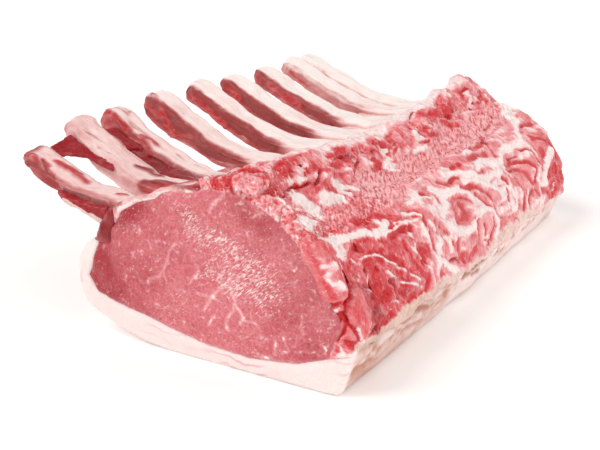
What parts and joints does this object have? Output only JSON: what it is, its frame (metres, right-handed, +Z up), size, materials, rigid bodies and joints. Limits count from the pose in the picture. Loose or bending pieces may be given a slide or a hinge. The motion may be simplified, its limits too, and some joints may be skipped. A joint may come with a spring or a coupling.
{
  "type": "raw frenched pork rack",
  "caption": "Raw bone-in pork loin with cleaned rib ends, lying on its fat cap, with a cut loin eye at one end and the sawn backbone edge along one side.",
  "frame": {"origin": "on the flat underside of the fat cap, below the middle of the loin", "axes": "+Y along the loin from the cut loin eye to the far end, +Z up, +X towards the sawn backbone side"},
  "size_m": [0.1791, 0.2674, 0.088],
  "materials": {
    "lean": "moist rose lean meat, soft sheen",
    "dark_lean": "moist dark red meat",
    "fat": "firm creamy fat, satin",
    "bone": "scraped pink-white bone, satin",
    "membrane": "thin moist pink membrane over fat"
  },
  "bodies": {
    "root": {"chine_ridge": "lean", "corner_flap": "lean", "corner_lobe": "lean", "fat_cap": "fat", "feather_strip": "lean", "flank_strip": "dark_lean", "flap_1": "dark_lean", "lean_scrap": "dark_lean", "loin_eye": "lean", "marbled_side": "lean", "rib_1": "bone", "rib_2": "bone", "rib_3": "bone", "rib_4": "bone", "rib_5": "bone", "rib_6": "bone", "rib_7": "bone", "rib_8": "bone", "rib_9": "bone", "rib_bed": "membrane", "web_1": "dark_lean", "web_2": "dark_lean"}
  },
  "joints": []
}
